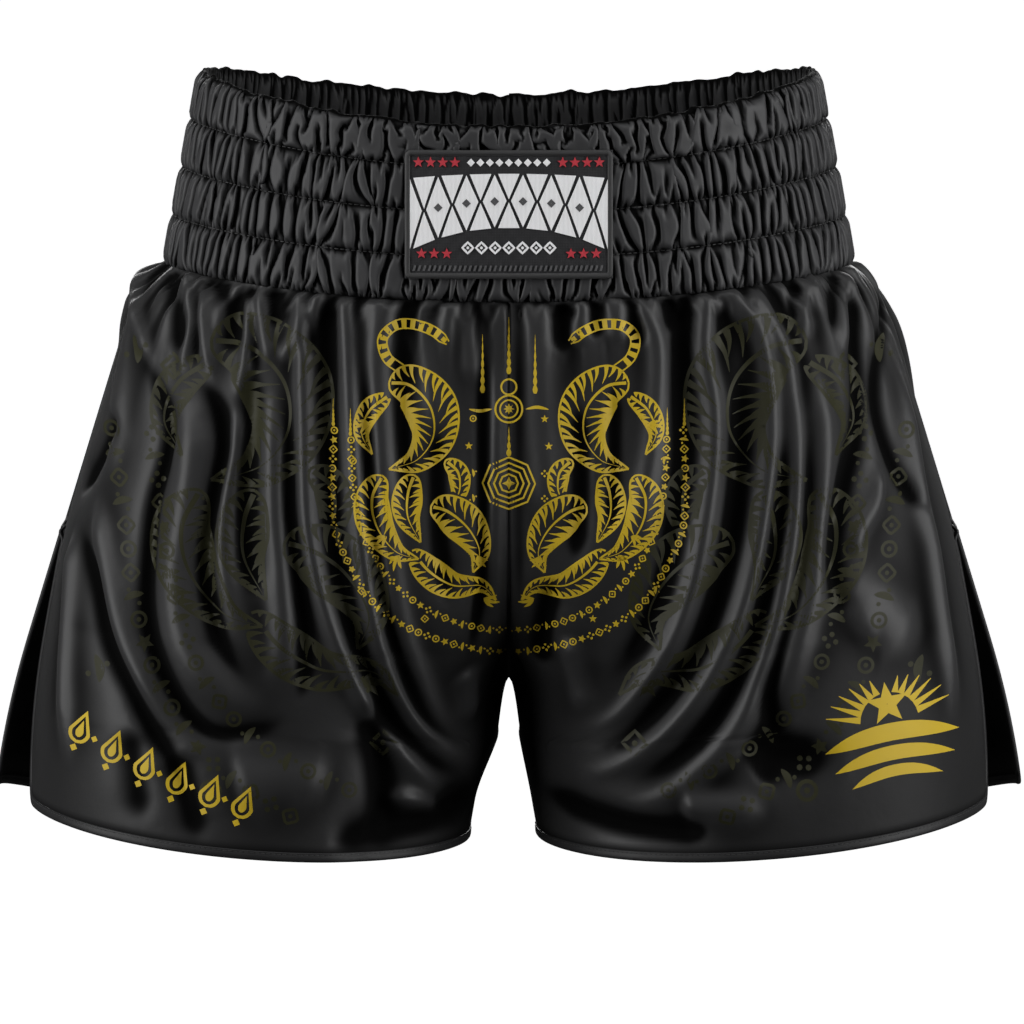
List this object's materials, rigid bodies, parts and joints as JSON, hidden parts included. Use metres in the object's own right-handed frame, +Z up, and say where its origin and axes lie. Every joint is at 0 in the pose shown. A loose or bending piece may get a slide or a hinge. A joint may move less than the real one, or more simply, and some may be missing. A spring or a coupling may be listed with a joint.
{
  "type": "boxing shorts",
  "caption": "Wide-legged satin boxing shorts with a gathered elastic waistband, side slits, bound hems and a sewn front label, filled out as worn.",
  "frame": {"origin": "centre of the waist opening, level with the rim at the centre front", "axes": "+Z up along the body, -Y to the front, +X to the right seen from the front"},
  "size_m": [0.4916, 0.2377, 0.3711],
  "materials": {
    "satin": "black polyester satin with a soft gloss",
    "binding": "black satin bias tape",
    "elastic": "black knitted elastic",
    "thread": "black polyester thread",
    "label": "woven label, black ground with white and red threads"
  },
  "bodies": {
    "root": {"waistband_casing": "satin", "waist_elastic_1": "elastic", "waist_elastic_2": "elastic", "waist_elastic_3": "elastic", "waist_elastic_4": "elastic", "channel_stitching_1": "thread", "channel_stitching_2": "thread", "channel_stitching_3": "thread", "label_patch": "label", "label_border_stitching": "thread", "drawcord_buttonhole_left": "thread", "drawcord_buttonhole_right": "thread", "front_left_panel": "satin", "front_right_panel": "satin", "back_left_panel": "satin", "back_right_panel": "satin", "front_left_edge_binding": "binding", "front_right_edge_binding": "binding", "back_left_edge_binding": "binding", "back_right_edge_binding": "binding", "slit_bar_tack_left": "thread", "slit_bar_tack_right": "thread", "crotch_gusset": "satin"}
  },
  "joints": []
}
